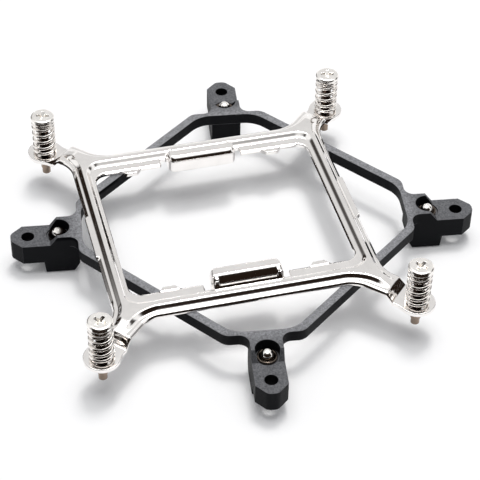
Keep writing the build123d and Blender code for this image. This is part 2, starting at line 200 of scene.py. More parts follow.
class AdapterPressing(bpy.types.PropertyGroup):
    """Sizes of the pressed frame, seen from above."""

    cell: length("Cell", "Spacing of the mesh where the sheet bends", 0.18)
    plain_cell: length("Plain cell", "Spacing of the mesh where the sheet runs straight", 0.32)
    sheet: length("Sheet", "Thickness of the sheet", 1.1)
    depth: length("Depth", "Across the long bars", 59.7)
    width: length("Width", "Across the side bars", 65.1)
    window_width: length("Window width", "Opening between the side bars", 55.2)
    window_depth: length("Window depth", "Opening between the long bars", 44.8)
    window_corner: length("Window corner", "Corner radius of the opening", 3.0)
    side_flange: length("Side flange", "Flat border outside the crown on the side bars", 0.85)
    bar_flange: length("Bar flange", "Flat border outside the crown on the long bars", 0.9)
    side_crown: length("Side crown", "Width of the crown on the side bars", 3.55)
    bar_crown: length("Bar crown", "Width of the crown on the long bars", 4.2)
    crown_corner: length("Crown corner", "Inner corner radius of the crown", 2.6)
    crown_rise: length("Crown rise", "Height of the crown above the sheet", 1.05)
    shoulder: length("Shoulder", "Run of the crown's slope", 1.55)
    shoulder_foot: length("Shoulder foot", "Length of the bend at the foot of the slope", 0.65)
    shoulder_brow: length("Shoulder brow", "Length of the bend at the top of the slope", 0.35)
    rim: length("Rim", "Rounding of the sheet's upper outer edge", 0.9)
    bevel: length("Bevel", "Fall of the bevelled outer edge of the side bars", 0.8)
    bevel_run: length("Bevel run", "Width of the bevelled outer edge of the side bars", 0.9)
    window_rim: length("Window rim", "Rounding of the upper edge along the window", 0.5)
    edge: length("Edge", "Rounding of the edges of tabs and eyes", 0.12)
    under_edge: length("Under edge", "Rounding of the sheet's lower edge", 0.15)
    arm_width: length("Arm width", "Width of the arms", 7.2)
    arm_crown: length("Arm crown", "Width of the crown on the arms", 4.6)
    arm_blend: length("Arm blend", "Size of the fillet beside the arms", 1.8)
    drop: length("Drop", "Step down from the arms to the eyes", 2.2)
    drop_run: length("Drop run", "Length of the step down", 2.4)
    drop_bend: length("Drop bend", "Length of each bend in the step", 0.8)
    crown_fade: length("Crown fade", "Stretch of arm over which the crown dies out", 4.2)
    eye: length("Eye", "Radius of the screw eyes", 4.35)
    eye_hole: length("Eye hole", "Radius of the screw holes", 1.55)
    boss_length: length("Boss length", "Length of the latch bosses", 17.5)
    boss_overhang: length("Boss overhang", "Reach of the bosses into the window", 2.4)
    boss_rise: length("Boss rise", "Height of the bosses above the crown", 2.2)
    boss_top: length("Boss top", "Depth of the bosses' flat top", 3.5)
    boss_run: length("Boss run", "Run of the bosses' sloping wall", 1.7)
    boss_edge: length("Boss edge", "Rounding of the bosses' brow", 0.75)
    boss_roll: length("Boss roll", "Rounding of the bosses' edge over the window", 1.6)
    boss_corner: length("Boss corner", "Rounding of the bosses' upright corners", 2.0)
    relief_length: length("Relief length", "Cut beside each boss, along the bar", 1.6)
    relief_depth: length("Relief depth", "Cut beside each boss, across the bar", 2.0)
    tab_place: length("Tab place", "From the middle of a bar to its tabs", 18.2)
    tab_length: length("Tab length", "Root of a tab on the window's edge", 5.2)
    tab_reach: length("Tab reach", "Reach of a tab into the window", 1.45)
    tab_taper: length("Tab taper", "Slope of a tab's ends", 1.2)
    side_tab_length: length("Side tab length", "Locating tab on the side bars", 14.8)
    side_tab_reach: length("Side tab reach", "Reach of the locating tab", 0.25)
    ear_width: length("Ear width", "Width of the posts at the ends of a boss's sloping wall", 1.6)
    ear_reach: length("Ear reach", "Reach of the posts beyond the boss's brow", 1.75)
    ear_inset: length("Ear inset", "From a boss's end to its post", 0.45)
    ear_drop: length("Ear drop", "Step down from the boss's top to the posts", 0.4)
    ear_wall: length("Ear wall", "Draft of the posts' walls", 0.45)


class AdapterSprings(bpy.types.PropertyGroup):
    """Sizes of the wound springs."""

    wire: length("Wire", "Diameter of the wire", 0.85)
    turns: bpy.props.FloatProperty(name="Turns", description="Turns from end to end", default=6.0, min=3)


class AdapterStage(bpy.types.PropertyGroup):
    """Floor and camera."""

    floor_size: length("Floor", "Side of the floor", 2400)
    azimuth: view_angle("Azimuth", "Turn of the camera about the part", -7.437)
    elevation: view_angle("Elevation", "Height of the camera above the horizon", 42.62)
    roll: view_angle("Roll", "Tilt of the camera's horizon", 1.243)
    distance: length("Distance", "From the camera to the part", 425.5)
    aim_height: length("Aim height", "Level that the camera looks at", 0.65)
    lens: bpy.props.FloatProperty(
        name="Lens", description="Focal length on a 36 mm sensor", default=127.785, unit="CAMERA",
    )
    shift_across: bpy.props.FloatProperty(
        name="Shift across", description="Shift of the camera's view to the right, as a share of the picture",
        default=-3.526 / PICTURE_WIDTH, precision=5,
    )
    shift_up: bpy.props.FloatProperty(
        name="Shift up", description="Shift of the camera's view upward, as a share of the picture",
        default=7.505 / PICTURE_WIDTH, precision=5,
    )


def tree_of(name):
    """A new material with an empty node tree, and that tree."""
    material = bpy.data.materials.new(name)
    material.use_nodes = True
    material.node_tree.nodes.clear()
    return material, material.node_tree


def add_node(tree, kind, inputs=None, **settings):
    """A node with its settings, and its inputs set to values or linked to sockets."""
    node = tree.nodes.new(kind)
    for key, value in settings.items():
        setattr(node, key, value)
    for key, value in (inputs or {}).items():
        if isinstance(value, bpy.types.NodeSocket):
            tree.links.new(value, node.inputs[key])
        else:
            node.inputs[key].default_value = value
    return node


def new_group(name, inputs, outputs):
    """An empty shader node group with named sockets, and its input and output nodes."""
    group = bpy.data.node_groups.new(name, "ShaderNodeTree")
    for label, kind, default in inputs:
        socket = group.interface.new_socket(label, in_out="INPUT", socket_type=kind)
        socket.default_value = default
    for label, kind in outputs:
        group.interface.new_socket(label, in_out="OUTPUT", socket_type=kind)
    return group, group.nodes.new("NodeGroupInput"), group.nodes.new("NodeGroupOutput")


def mix_colour(tree, factor, first, second):
    """The colour output of a mix of two colours, which are the node's inputs 6 and 7."""
    node = add_node(tree, "ShaderNodeMix", {0: factor, 6: first, 7: second}, data_type="RGBA")
    return node.outputs[2]


def mottle_group():
    """Group: soft cloudy noise between two values, in the part's own space."""
    group, inside, out = new_group(
        "Mottle",
        [("Scale", "NodeSocketFloat", 300.0),
         ("Low", "NodeSocketFloat", 0.0),
         ("High", "NodeSocketFloat", 1.0)],
        [("Value", "NodeSocketFloat")],
    )
    place = add_node(group, "ShaderNodeTexCoord")
    noise = add_node(
        group, "ShaderNodeTexNoise",
        {"Vector": place.outputs["Object"], "Scale": inside.outputs["Scale"],
         "Detail": 4.0, "Roughness": 0.6},
    )
    spread = add_node(
        group, "ShaderNodeMapRange",
        {"Value": noise.outputs["Fac"], "From Min": 0.32, "From Max": 0.68,
         "To Min": inside.outputs["Low"], "To Max": inside.outputs["High"]},
    )
    group.links.new(spread.outputs["Result"], out.inputs["Value"])


def edge_group():
    """Group: a mask that is 1 along sharp edges, and the normal with those edges rounded."""
    group, inside, out = new_group(
        "Rounded Edge",
        [("Radius", "NodeSocketFloat", 0.15 * MM)],
        [("Mask", "NodeSocketFloat"), ("Normal", "NodeSocketVector")],
    )
    bevel = add_node(group, "ShaderNodeBevel", {"Radius": inside.outputs["Radius"]}, samples=8)
    true_normal = add_node(group, "ShaderNodeNewGeometry")
    along = add_node(
        group, "ShaderNodeVectorMath",
        {0: bevel.outputs["Normal"], 1: true_normal.outputs["Normal"]}, operation="DOT_PRODUCT",
    )
    mask = add_node(
        group, "ShaderNodeMapRange",
        {"Value": along.outputs["Value"], "From Min": 0.995, "From Max": 0.86, "To Min": 0.0, "To Max": 1.0},
    )
    group.links.new(mask.outputs["Result"], out.inputs["Mask"])
    group.links.new(bevel.outputs["Normal"], out.inputs["Normal"])


def use_group(tree, name, inputs):
    """A node that places a group in a material, with its own values."""
    return add_node(tree, "ShaderNodeGroup", inputs, node_tree=bpy.data.node_groups[name])


def opaque(colour):
    """A colour with full alpha."""
    return (*colour, 1.0)


def finish_material(material, shader):
    """Links a shader to the material's output."""
    tree = material.node_tree
    output = add_node(tree, "ShaderNodeOutputMaterial")
    tree.links.new(shader.outputs[0], output.inputs["Surface"])
    return material


def black_plastic(colours):
    """Moulded plastic: eroded grain, upward faces painted paler as painted sheen and paler still on the ring,
    walls painted near black as painted shade, painted highlights along the edges.
    """
    material, tree = tree_of("moulded_plastic")
    normal = add_node(tree, "ShaderNodeNewGeometry")
    upward = add_node(tree, "ShaderNodeSeparateXYZ", {0: normal.outputs["Normal"]})
    # Painted sheen and painted shade: upward faces take the paler top colours, walls the near-black wall
    # colour
    facing = add_node(
        tree, "ShaderNodeMapRange",
        {"Value": upward.outputs["Z"], "From Min": 0.35, "From Max": 0.85, "To Min": 0.0, "To Max": 1.0},
        interpolation_type="SMOOTHSTEP",
    )
    clouds = use_group(tree, "Mottle", {"Scale": 2400.0, "Low": 0.58, "High": 1.42})
    grain = use_group(tree, "Mottle", {"Scale": 4200.0, "Low": 0.0, "High": 1.0})
    edge = use_group(tree, "Rounded Edge", {"Radius": 0.22 * MM})
    place = add_node(tree, "ShaderNodeTexCoord")
    flat = add_node(
        tree, "ShaderNodeVectorMath", {0: place.outputs["Object"], 1: (1, 1, 0)}, operation="MULTIPLY",
    )
    reach = add_node(tree, "ShaderNodeVectorMath", {0: flat.outputs["Vector"]}, operation="LENGTH")
    on_foot = add_node(
        tree, "ShaderNodeMapRange",
        {"Value": reach.outputs["Value"], "From Min": RING_END, "From Max": FOOT_START},
        interpolation_type="SMOOTHSTEP",
    )
    # Painted sheen, paler on the ring than on the feet
    tone = mix_colour(
        tree, on_foot.outputs["Result"], opaque(colours.plastic_ring_sheen), opaque(colours.plastic_top_sheen),
    )
    top = add_node(
        tree, "ShaderNodeVectorMath", {0: tone, 1: clouds.outputs["Value"]}, operation="MULTIPLY",
    )
    face = mix_colour(tree, facing.outputs["Result"], opaque(colours.plastic_wall_shade), top.outputs["Vector"])
    # Painted highlight: sharp edges take the paler top colour
    pale = mix_colour(tree, edge.outputs["Mask"], face, opaque(colours.plastic_top_sheen))
    roughness = add_node(
        tree, "ShaderNodeMapRange",
        {"Value": grain.outputs["Value"], "From Min": 0.0, "From Max": 1.0, "To Min": 0.42, "To Max": 0.62},
    )
    bump = add_node(
        tree, "ShaderNodeBump",
        {"Height": grain.outputs["Value"], "Normal": edge.outputs["Normal"],
         "Strength": 0.25, "Distance": 0.05 * MM},
    )
    shader = add_node(
        tree, "ShaderNodeBsdfPrincipled",
        {"Base Color": pale, "Roughness": roughness.outputs["Result"], "Normal": bump.outputs["Normal"],
         "Specular IOR Level": 0.08},
    )
    finish_material(material, shader)


def plated_metal(name, colour, scale, smooth, rough, edge_radius, bands=()):
    """Bright plating: cloudy tone and gloss, a faint ripple, rounded edges, and bands of other colour lower
    down, used for painted shade and for the shanks' own browner colour.
    """
    material, tree = tree_of(name)
    clouds = use_group(tree, "Mottle", {"Scale": scale, "Low": 0.94, "High": 1.04})
    haze = use_group(tree, "Mottle", {"Scale": scale * 3.0, "Low": smooth, "High": rough})
    ripple = use_group(tree, "Mottle", {"Scale": scale * 0.6, "Low": 0.0, "High": 1.0})
    edge = use_group(tree, "Rounded Edge", {"Radius": edge_radius})
    plain = add_node(tree, "ShaderNodeRGB")
    plain.outputs["Color"].default_value = opaque(colour)
    tint = plain.outputs["Color"]
    for top, band in bands:
        place = add_node(tree, "ShaderNodeTexCoord")
        level = add_node(tree, "ShaderNodeSeparateXYZ", {0: place.outputs["Object"]})
        above = add_node(
            tree, "ShaderNodeMapRange",
            {"Value": level.outputs["Z"], "From Min": top - BAND_BLUR, "From Max": top},
        )
        tint = mix_colour(tree, above.outputs["Result"], opaque(band), tint)
    tone = add_node(
        tree, "ShaderNodeVectorMath", {0: tint, 1: clouds.outputs["Value"]}, operation="MULTIPLY",
    )
    bump = add_node(
        tree, "ShaderNodeBump",
        {"Height": ripple.outputs["Value"], "Normal": edge.outputs["Normal"],
         "Strength": 0.06, "Distance": 0.02 * MM},
    )
    shader = add_node(
        tree, "ShaderNodeBsdfPrincipled",
        {"Base Color": tone.outputs["Vector"], "Roughness": haze.outputs["Value"], "Metallic": 1.0,
         "Normal": bump.outputs["Normal"]},
    )
    finish_material(material, shader)


def give(node_name, material):
    """Puts a material on a CAD node."""
    mesh = frame["nodes"][node_name].data
    mesh.materials.clear()
    mesh.materials.append(material)


def mesh_object(name, mesh, material):
    """A smooth-shaded object made of a mesh, in the scene."""
    made = bpy.data.objects.new(name, mesh)
    bpy.context.scene.collection.objects.link(made)
    mesh.materials.append(material)
    mesh.polygons.foreach_set("use_smooth", [True] * len(mesh.polygons))
    return made


def tube_mesh(name, points, tangents, radius, sides):
    """A closed round tube along a line of points about the Z axis."""
    mesh = bpy.data.meshes.new(name)
    shape = bmesh.new()
    rings = []
    for point, tangent in zip(points, tangents):
        outward = Vector((point.x, point.y, 0)).normalized()
        upward = outward.cross(tangent).normalized()
        ring = []
        for step in range(sides):
            angle = 2 * pi * step / sides
            ring.append(shape.verts.new(point + radius * (cos(angle) * outward + sin(angle) * upward)))
        rings.append(ring)
    for first, second in zip(rings, rings[1:]):
        for step in range(sides):
            following = (step + 1) % sides
            shape.faces.new((first[step], second[step], second[following], first[following]))
    shape.faces.new(rings[0])
    shape.faces.new(reversed(rings[-1]))
    bmesh.ops.recalc_face_normals(shape, faces=shape.faces)
    shape.to_mesh(mesh)
    shape.free()
    return mesh


def spring_line(coil_radius, height, wire, turns):
    """Points and tangents of a compression spring whose two end turns lie closed and flat."""
    steps_per_turn = 48
    count = int(turns * steps_per_turn)
    closed_pitch = wire * 1.02
    free_turns = turns - 2
    open_pitch = (height - wire - 2 * closed_pitch) / free_turns
    points, tangents = [], []
    for step in range(count + 1):
        turn = turns * step / count
        low = min(turn, 1.0)
        high = max(turn - (turns - 1.0), 0.0)
        middle = turn - low - high
        z = wire / 2 + closed_pitch * (low + high) + open_pitch * middle
        pitch = open_pitch if 0 < middle < free_turns else closed_pitch
        angle = 2 * pi * turn
        points.append(Vector((coil_radius * cos(angle), coil_radius * sin(angle), z)))
        tangents.append(Vector((-sin(angle), cos(angle), pitch / (2 * pi * coil_radius))).normalized())
    return points, tangents


def soft_step(x, low, high):
    """A smooth rise from 0 to 1 between two values."""
    t = np.clip((x - low) / (high - low), 0, 1)
    return t * t * (3 - 2 * t)


def inside_box(u, v, half_u, half_v, corner=0.0):
    """How far points lie inside a rectangle about the middle, with rounded corners."""
    du = np.abs(u) - half_u + corner
    dv = np.abs(v) - half_v + corner
    beyond = np.hypot(np.maximum(du, 0), np.maximum(dv, 0))
    return corner - beyond - np.minimum(np.maximum(du, dv), 0)


def joined(first, second, blend):
    """How far points lie inside two joined shapes, with a fillet between them."""
    overlap = np.hypot(np.maximum(blend + first, 0), np.maximum(blend + second, 0))
    return overlap - np.maximum(blend, np.minimum(-first, -second))


def ramp(x, run, low, high):
    """A rise from 0 to 1 over a run, with a smooth bend of its own length at each end."""
    x = np.clip(x, 0, run)
    slope = 1 / (run - (low + high) / 2)
    rising = slope * x * x / (2 * low)
    straight = slope * (x - low / 2)
    levelling = 1 - slope * (run - x) ** 2 / (2 * high)
    return np.where(x < low, rising, np.where(x < run - high, straight, levelling))


def rounding(inside, radius):
    """How far a rounded edge falls away at a distance inside the edge."""
    gap = radius - np.clip(inside, 0, radius)
    return radius - np.sqrt(np.maximum(radius * radius - gap * gap, 0))


def on_diagonal(u, v):
    """How far points lie along the diagonal that an arm follows, and how far beside it."""
    return (u + v) / sqrt(2), np.abs(v - u) / sqrt(2)


def drop_start(size):
    """Where on the diagonal the step down to an eye begins."""
    return SCREW_REACH - size.eye - size.drop_run


def blank_outline(size, u, v):
    """How far points lie inside the outer outline: the plate, its arms and the screw eyes."""
    along, aside = on_diagonal(u, v)
    arm = np.minimum(size.arm_width / 2 - aside, SCREW_REACH - along)
    eye = size.eye - np.hypot(along - SCREW_REACH, aside)
    plan = joined(inside_box(u, v, size.width / 2, size.depth / 2), arm, size.arm_blend)
    plan = joined(plan, eye, size.arm_blend / 3)
    side_tab = np.minimum(size.side_tab_length / 2 - v, size.width / 2 + size.side_tab_reach - u)
    return np.maximum(plan, np.minimum(side_tab, u - size.width / 2 + size.sheet))


def window_outline(size, u, v):
    """How far points lie outside the window, whose long edges carry tabs and relief cuts."""
    window_edge = size.window_depth / 2
    plan = -inside_box(u, v, size.window_width / 2, window_edge, size.window_corner)
    into_window = window_edge - v
    tab_half = size.tab_length / 2 - np.maximum(into_window, 0) * size.tab_taper / size.tab_reach
    tab = np.minimum(tab_half - np.abs(u - size.tab_place), size.tab_reach - into_window)
    plan = np.maximum(plan, np.minimum(tab, into_window + size.sheet))
    relief_u = u - size.boss_length / 2 - size.relief_length / 2
    relief = inside_box(relief_u, v - window_edge, size.relief_length / 2, size.relief_depth)
    return np.minimum(plan, -relief)


def boss_plan(size, u, v):
    """How far points lie inside a latch boss, whose rounded corners stand in the window."""
    front = size.window_depth / 2 - size.boss_overhang
    half_depth = size.boss_overhang
    return inside_box(u, v - front - half_depth, size.boss_length / 2, half_depth, size.boss_corner)


def pressing_outline(size, u, v):
    """How far points lie inside the pressed frame's outline."""
    plan = np.minimum(blank_outline(size, u, v), window_outline(size, u, v))
    plan = np.maximum(plan, boss_plan(size, u, v))
    along, aside = on_diagonal(u, v)
    return np.minimum(plan, np.hypot(along - SCREW_REACH, aside) - size.eye_hole)


def pressing_height(size, u, v):
    """Height of the pressed sheet's upper face above its flat border, before edges are rounded."""
    along, aside = on_diagonal(u, v)
    half_u = size.width / 2 - size.side_flange
    half_v = size.depth / 2 - size.bar_flange
    crown = joined(inside_box(u, v, half_u, half_v), size.arm_crown / 2 - aside, size.arm_blend)
    opening = inside_box(u, v, half_u - size.side_crown, half_v - size.bar_crown, size.crown_corner)
    crown = np.minimum(crown, -opening)
    past = along - drop_start(size)
    bend = size.crown_fade / 3
    fade = 1 - ramp(past + size.crown_fade - size.drop_bend, size.crown_fade, bend, bend)
    height = size.crown_rise * fade * ramp(crown, size.shoulder, size.shoulder_foot, size.shoulder_brow)
    return height - size.drop * ramp(past, size.drop_run, size.drop_bend, size.drop_bend)


def boss_height(size, u, v):
    """Height of a latch boss's upper face and its two posts above the sheet, falling away outside them."""
    top = size.crown_rise + size.boss_rise
    brow = size.window_depth / 2 - size.boss_overhang + size.boss_top
    past = np.maximum(v - brow + size.boss_edge / 2, 0)
    slope = size.boss_rise / size.boss_run
    wall = slope * np.where(
        past < size.boss_edge, past * past / (2 * size.boss_edge), past - size.boss_edge / 2
    )
    ends = np.maximum(np.abs(u) - size.boss_length / 2 + size.boss_edge, 0)
    body = top - wall - 2 * ends * ends / size.boss_edge
    post_u = np.abs(u) - size.boss_length / 2 + size.ear_width / 2 + size.ear_inset
    post = inside_box(post_u, v - brow, size.ear_width / 2, size.ear_reach, size.ear_wall)
    bend = size.ear_wall / 2
    ear = np.where(post > 0, (top - size.ear_drop) * ramp(post, size.ear_wall, bend / 2, bend), -top)
    return np.maximum(body, ear)


def rim_radius(size, u, v):
    """Rounding of the outer rim: rolled along the plate and arms, nearly sharp at side tabs and eyes."""
    past = on_diagonal(u, v)[0] - drop_start(size)
    at_eye = ramp(past, size.drop_run, size.drop_run / 2, size.drop_run / 2)
    bend = 2 * size.edge
    at_tab = ramp(size.side_tab_length / 2 - v + bend, 2 * bend, bend, bend)
    at_tab = at_tab * (u > size.width / 2 - 2 * size.rim)
    return size.rim + (size.edge - size.rim) * np.maximum(at_eye, at_tab)


def beside(size, u, v):
    """Where the side bars' outer edge is bevelled: 1 along them, 0 at tabs, arms and long bars."""
    on_side = soft_step(u, size.width / 2 - 2 * size.bevel_run, size.width / 2 - 1.4 * size.bevel_run)
    tab_end = size.side_tab_length / 2
    bar_end = size.window_depth / 2
    past_tab = soft_step(v, tab_end, tab_end + 3 * size.edge)
    past_bar = soft_step(v, bar_end, bar_end + 2 * size.sheet)
    return on_side * (past_tab * (1 - past_bar))


def pressing_faces(size):
    """The heights of the upper and lower faces over the plan."""
    def upper(u, v):
        sheet = pressing_height(size, u, v)
        boss = boss_height(size, u, v)
        plan = boss_plan(size, u, v)
        on_boss = (boss > sheet) & (plan > -size.cell)
        border = blank_outline(size, u, v)
        outer = rounding(border, rim_radius(size, u, v))
        bevel = size.bevel * (1 - ramp(border, size.bevel_run, size.edge / 2, size.bevel_run / 3))
        outer = outer + (bevel - outer) * beside(size, u, v)
        straight = -inside_box(u, v, size.window_width / 2, size.window_depth / 2, size.window_corner)
        cuts = rounding(window_outline(size, u, v), size.edge)
        inner = np.maximum(cuts, rounding(straight, size.window_rim) * (straight > 0))
        front = v - size.window_depth / 2 + size.boss_overhang
        easing = soft_step(front, 0, 2 * size.boss_roll)
        roll = rounding(plan, size.boss_roll + (size.boss_edge - size.boss_roll) * easing)
        return np.where(on_boss, boss - roll, np.maximum(sheet, boss) - np.maximum(outer, inner))

    def lower(u, v):
        inside = pressing_outline(size, u, v)
        sheet = pressing_height(size, u, v) - size.sheet
        hollow = boss_height(size, u, v) - size.sheet
        in_boss = (boss_plan(size, u, v) > size.sheet) & (hollow > sheet)
        return np.where(in_boss, hollow, sheet) + rounding(inside, size.under_edge)

    return upper, lower


def grid_line(stops):
    """Distances from the middle: each stretch has its own end and spacing."""
    line = [0.0]
    for end, spacing in stops:
        count = max(int((end - line[-1]) / spacing + 0.5), 1)
        line += list(np.linspace(line[-1], end, count + 1)[1:])
    return np.array(line)


def cut_plan(size, reach):
    """A triangle grid over a quarter of the plan, cut along the outline, and its points on the cut."""
    fine = size.cell
    plain = size.plain_cell
    arm = (fine + plain) / 2
    margin = 4 * size.edge
    boss_end = size.boss_length / 2
    line_u = grid_line([
        (boss_end - size.boss_corner, plain),
        (boss_end + size.relief_length, fine),
        (size.window_width / 2 - size.sheet, plain),
        (size.width / 2 + margin, fine),
        (reach, arm),
    ])
    line_v = grid_line([
        (size.window_depth / 2 - size.boss_overhang - size.edge, plain),
        (size.depth / 2 + margin, fine),
        (reach, arm),
    ])
    u, v = np.meshgrid(line_u, line_v, indexing="ij")
    inside = pressing_outline(size, u, v)
    points, edge_points, triangles = [], {}, []
    corner_index = {}

    def corner(i, k):
        if (i, k) not in corner_index:
            corner_index[i, k] = len(points)
            points.append((line_u[i], line_v[k]))
        return corner_index[i, k]

    def crossing(a, b):
        key = (min(a, b), max(a, b))
        if key not in edge_points:
            (i, k), (m, n) = key
            low, high = 0.0, 1.0
            start = inside[i, k] > 0
            for _ in range(CUT_STEPS):
                middle = (low + high) / 2
                x = line_u[i] + (line_u[m] - line_u[i]) * middle
                y = line_v[k] + (line_v[n] - line_v[k]) * middle
                if (pressing_outline(size, np.float64(x), np.float64(y)) > 0) == start:
                    low = middle
                else:
                    high = middle
            edge_points[key] = len(points)
            points.append((x, y))
        return edge_points[key]

    for i in range(len(line_u) - 1):
        for k in range(len(line_v) - 1):
            if inside[i:i + 2, k:k + 2].max() <= 0:
                continue
            cell = [(i, k), (i + 1, k), (i + 1, k + 1), (i, k + 1)]
            for three in ((cell[0], cell[1], cell[2]), (cell[0], cell[2], cell[3])):
                ring = []
                for a, b in zip(three, three[1:] + three[:1]):
                    if inside[a] > 0:
                        ring.append(corner(*a))
                    if (inside[a] > 0) != (inside[b] > 0):
                        ring.append(crossing(a, b))
                for second, third in zip(ring[1:], ring[2:]):
                    triangles.append((ring[0], second, third))
    on_cut = np.zeros(len(points), bool)
    on_cut[list(edge_points.values())] = True
    return np.array(points), np.array(triangles), on_cut


def slopes(height, points, step):
    """Unit normals of a height over the plan, by differences."""
    u, v = points[:, 0], points[:, 1]
    du = (height(u + step, v) - height(u - step, v)) / (2 * step)
    dv = (height(u, v + step) - height(u, v - step)) / (2 * step)
    normals = np.stack([-du, -dv, np.ones_like(du)], axis=1)
    return normals / np.linalg.norm(normals, axis=1)[:, None]


def pressed_mesh(size):
    """The whole pressed frame: two faces and a rim for one quarter, mirrored to all four."""
    points, triangles, on_cut = cut_plan(size, SCREW_REACH / sqrt(2) + size.eye)
    upper, lower = pressing_faces(size)
    count = len(points)
    step = size.cell / SLOPE_STEPS
    outward = np.zeros((count, 3))
    outward[:, :2] = -slopes(lambda a, b: -pressing_outline(size, a, b), points, step)[:, :2]
    outward /= np.maximum(np.linalg.norm(outward, axis=1), 1e-9)[:, None]
    top_normal = np.where(on_cut[:, None], outward, slopes(upper, points, step))
    low_normal = np.where(on_cut[:, None], outward, -slopes(lower, points, step))
    places = np.concatenate([
        np.column_stack([points, upper(points[:, 0], points[:, 1])]),
        np.column_stack([points, lower(points[:, 0], points[:, 1])]),
    ])
    normals = np.concatenate([top_normal, low_normal])
    used = {}
    for a, b, c in triangles:
        for edge in ((a, b), (b, c), (c, a)):
            used[edge] = True
    faces = [tuple(t) for t in triangles]
    faces += [(a + count, c + count, b + count) for a, b, c in triangles]
    faces += [(b, a, a + count, b + count) for a, b in used if (b, a) not in used and on_cut[a] and on_cut[b]]
    verts, vert_normals, all_faces, index = [], [], [], {}
    for sign_u, sign_v in ((1, 1), (-1, 1), (-1, -1), (1, -1)):
        flip = np.array([sign_u, sign_v, 1])
        mapped = []
        for place, normal in zip(places * flip, normals * flip):
            key = tuple(np.round(place * WELD_STEPS).astype(int))
            if key not in index:
                index[key] = len(verts)
                verts.append(place)
                vert_normals.append(normal)
            mapped.append(index[key])
        for face in faces:
            ring = [mapped[i] for i in face]
            all_faces.append(ring if sign_u * sign_v > 0 else ring[::-1])
    mesh = bpy.data.meshes.new("pressed_frame")
    mesh.from_pydata([tuple(p) for p in verts], [], all_faces)
    return mesh, vert_normals


def flat_level(size):
    """Level of the pressed frame's flat upper face, below its crown and bosses."""
    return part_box("retention_frame")[1].z - size.crown_rise - size.boss_rise


class ADAPTER_OT_finishes(bpy.types.Operator):
    """Makes the shared effects and the finishes"""

    bl_idname = "adapter.finishes"
    bl_label = "Make finishes"

    def execute(self, context):
        colours = context.scene.adapter_colours
        mottle_group()
        edge_group()
        black_plastic(colours)
        plated_metal(
            "bright_nickel", colours.nickel, scale=160.0, smooth=0.07, rough=0.12, edge_radius=0.25 * MM,
        )
        # Painted shade: below the dome the insert's flange is painted dark
        dome_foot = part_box(INSERT_NODES[0])[1].z - INSERT_DOME
        plated_metal(
            "insert_plating", colours.screw, scale=500.0, smooth=0.10, rough=0.18, edge_radius=0.12 * MM,
            bands=((dome_foot, colours.flange),),
        )
        # The shanks keep their browner colour below the springs; inside the springs they are painted dark as
        # painted shade
        low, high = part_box("screw_spring_front_left")
        plated_metal(
            "screw_plating", colours.screw, scale=500.0, smooth=0.13, rough=0.24, edge_radius=0.12 * MM,
            bands=((high.z, colours.shank_shade), (low.z, colours.shank)),
        )
        plated_metal(
            "spring_plating", colours.spring, scale=700.0, smooth=0.09, rough=0.15, edge_radius=0.05 * MM,
        )
        plated_metal(
            "clip_finish", colours.clip, scale=700.0, smooth=0.22, rough=0.34, edge_radius=0.08 * MM,
        )
        return {"FINISHED"}


class ADAPTER_OT_backing_frame(bpy.types.Operator):
    """Gives the moulded ring and feet their grained black plastic"""

    bl_idname = "adapter.backing_frame"
    bl_label = "Dress backing frame"

    # Gives the moulded ring and feet their grained black plastic, with painted sheen on upward faces and
    # painted shade on walls
    def execute(self, context):
        give("backing_frame", bpy.data.materials["moulded_plastic"])
        return {"FINISHED"}


class ADAPTER_OT_retention_frame(bpy.types.Operator):
    """Presses the retention frame from sheet, in bright nickel"""

    bl_idname = "adapter.retention_frame"
    bl_label = "Press retention frame"

    def execute(self, context):
        size = context.scene.adapter_pressing
        mesh, normals = pressed_mesh(size)
        pressed = mesh_object("pressed_frame", mesh, bpy.data.materials["bright_nickel"])
        mesh.normals_split_custom_set_from_vertices([tuple(n) for n in normals])
        pressed.location = (FRAME_CENTRE.x, FRAME_CENTRE.y, flat_level(size))
        pressed.rotation_euler = (0, 0, FRAME_TURN)
        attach(pressed, "frame_stack")
        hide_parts("retention_frame")
        return {"FINISHED"}


class ADAPTER_OT_inserts(bpy.types.Operator):
    """Plates the four threaded inserts"""

    bl_idname = "adapter.inserts"
    bl_label = "Dress inserts"

    def execute(self, context):
        for name in INSERT_NODES:
            give(name, bpy.data.materials["insert_plating"])
        return {"FINISHED"}


class ADAPTER_OT_screws(bpy.types.Operator):
    """Plates the four screws and their clips"""

    bl_idname = "adapter.screws"
    bl_label = "Dress screws"

    def execute(self, context):
        for place in SCREW_AXES:
            give(f"sprung_screw_{place}", bpy.data.materials["screw_plating"])
            give(f"retaining_clip_{place}", bpy.data.materials["clip_finish"])
        return {"FINISHED"}


class ADAPTER_OT_springs(bpy.types.Operator):
    """Winds the four springs from round wire, with closed ends"""

    bl_idname = "adapter.springs"
    bl_label = "Wind springs"

    def execute(self, context):
        sizes = context.scene.adapter_springs
        for place, axis in SCREW_AXES.items():
            low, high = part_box(f"screw_spring_{place}")
            coil_radius = (high.x - low.x) / 2 - sizes.wire / 2
            height = high.z - low.z
            points, tangents = spring_line(coil_radius, height, sizes.wire, sizes.turns)
            mesh = tube_mesh(f"wound_spring_{place}", points, tangents, sizes.wire / 2, WIRE_SIDES)
            spring = mesh_object(f"wound_spring_{place}", mesh, bpy.data.materials["spring_plating"])
            spring.location = (axis.x, axis.y, low.z)
            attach(spring, "frame_stack")
            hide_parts(f"screw_spring_{place}")
            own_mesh(spring)
        return {"FINISHED"}


def seen_by(tree, *rays):
    """A value that is 1 for these kinds of ray and 0 for others."""
    path = add_node(tree, "ShaderNodeLightPath")
    seen = path.outputs[rays[0]]
    for ray in rays[1:]:
        either = add_node(tree, "ShaderNodeMath", {0: seen, 1: path.outputs[ray]}, operation="MAXIMUM")
        seen = either.outputs[0]
    return seen


